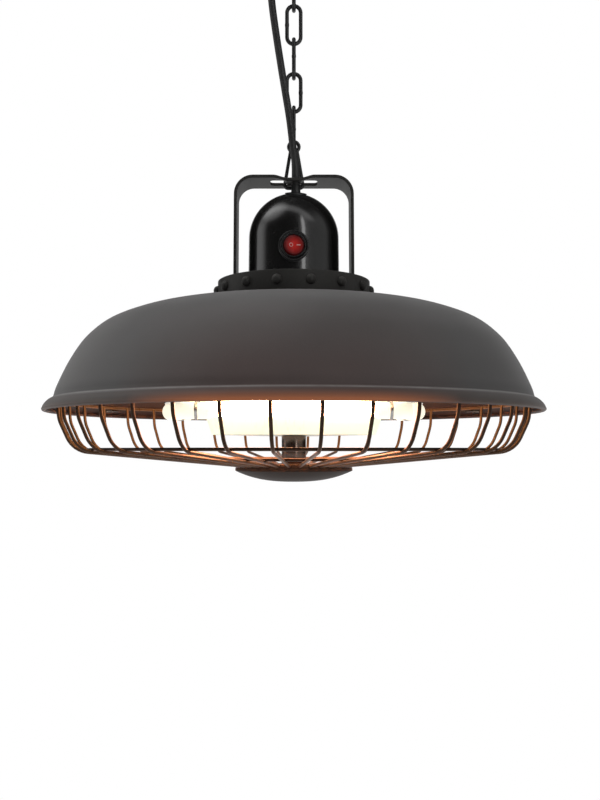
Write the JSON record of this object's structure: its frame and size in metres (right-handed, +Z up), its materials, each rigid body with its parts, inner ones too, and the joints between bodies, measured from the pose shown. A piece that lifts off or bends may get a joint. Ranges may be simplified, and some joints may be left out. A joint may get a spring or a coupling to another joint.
{
  "type": "hanging patio heater",
  "caption": "Electric heater hung on a short chain: wide spun shade with a wire guard and halogen tubes below, domed control housing with a round rocker switch above.",
  "frame": {"origin": "on the ceiling, at the centre of the ceiling plate's upper face", "axes": "+Z up, +X to the right seen from the front, -Y the front, where the switch is"},
  "size_m": [0.5, 0.5, 0.5562],
  "materials": {
    "ceiling_black": "satin black powder coat",
    "chain_black": "satin black",
    "cord_black": "matt black cable sheath",
    "bracket_black": "satin black powder coat",
    "zinc_steel": "bright zinc plate",
    "plate_grey": "dark grey coat",
    "dome_gloss": "gloss black enamel",
    "gland_black": "matt black moulding",
    "switch_black": "black moulding",
    "rocker_red": "clear red moulding",
    "terminal_cream": "cream moulding",
    "lead_red": "red-brown heat-proof sleeve",
    "harness_sleeve": "woven glass sleeve",
    "shade_graphite": "fine-textured matt graphite",
    "post_steel": "brushed",
    "reflector_aluminium": "hammered bright aluminium",
    "lamp_glass": "quartz tube, lit",
    "holder_ceramic": "unglazed off-white",
    "guard_bronze": "dark bronze satin",
    "dish_anthracite": "matt anthracite"
  },
  "bodies": {
    "ceiling": {"ceiling_plate": "ceiling_black", "ceiling_hook": "chain_black", "ceiling_cord_fitting": "gland_black"},
    "first_link": {"chain_link_1": "chain_black"},
    "chain": {"chain_link_2": "chain_black", "chain_link_3": "chain_black", "chain_link_4": "chain_black", "chain_link_5": "chain_black", "hanger_loop": "chain_black", "power_cord": "cord_black"},
    "heater": {"strap_bracket": "bracket_black", "bracket_bolt_left": "zinc_steel", "bracket_bolt_right": "zinc_steel", "bracket_nut_left": "zinc_steel", "bracket_nut_right": "zinc_steel", "mounting_plate": "plate_grey", "collar_band": "bracket_black", "dome_housing": "dome_gloss", "housing_screw_1": "zinc_steel", "housing_screw_2": "zinc_steel", "housing_screw_3": "zinc_steel", "cable_gland": "gland_black", "gland_nut": "gland_black", "switch_ring": "switch_black", "switch_barrel": "switch_black", "terminal_block": "terminal_cream", "supply_lead": "cord_black", "switch_lead": "lead_red", "wiring_harness": "harness_sleeve", "shade": "shade_graphite", "tie_rod": "zinc_steel", "tie_rod_nut": "zinc_steel", "spacer_tube": "post_steel", "reflector_pan": "reflector_aluminium", "reflector_core": "reflector_aluminium", "lamp_tube_1": "lamp_glass", "lamp_tube_2": "lamp_glass", "lamp_tube_3": "lamp_glass", "lamp_holder_1a": "holder_ceramic", "lamp_holder_1b": "holder_ceramic", "lamp_holder_2a": "holder_ceramic", "lamp_holder_2b": "holder_ceramic", "lamp_holder_3a": "holder_ceramic", "lamp_holder_3b": "holder_ceramic", "centre_post": "post_steel", "wire_guard": "guard_bronze", "guard_clip_1": "post_steel", "guard_clip_2": "post_steel", "guard_clip_3": "post_steel", "bottom_dish": "dish_anthracite"},
    "rocker": {"switch_rocker": "rocker_red"}
  },
  "joints": [
    {"name": "first_link_swing", "type": "hinge", "parent": "ceiling", "child": "first_link", "pos_m": [0, 0, -0.04], "axis": [1, 0, 0], "range_deg": [-15, 15], "deforming": ["power_cord"]},
    {"name": "chain_swing", "type": "hinge", "parent": "first_link", "child": "chain", "pos_m": [0, 0, -0.0742], "axis": [0, 1, 0], "range_deg": [-15, 15], "deforming": ["power_cord"]},
    {"name": "heater_tilt", "type": "hinge", "parent": "chain", "child": "heater", "pos_m": [0, 0, -0.25625], "axis": [1, 0, 0], "range_deg": [-15, 15], "deforming": ["power_cord"]},
    {"name": "switch_rock", "type": "hinge", "parent": "heater", "child": "rocker", "pos_m": [0, -0.0482, -0.325], "axis": [0, 0, 1], "range_deg": [-18, 0]}
  ]
}
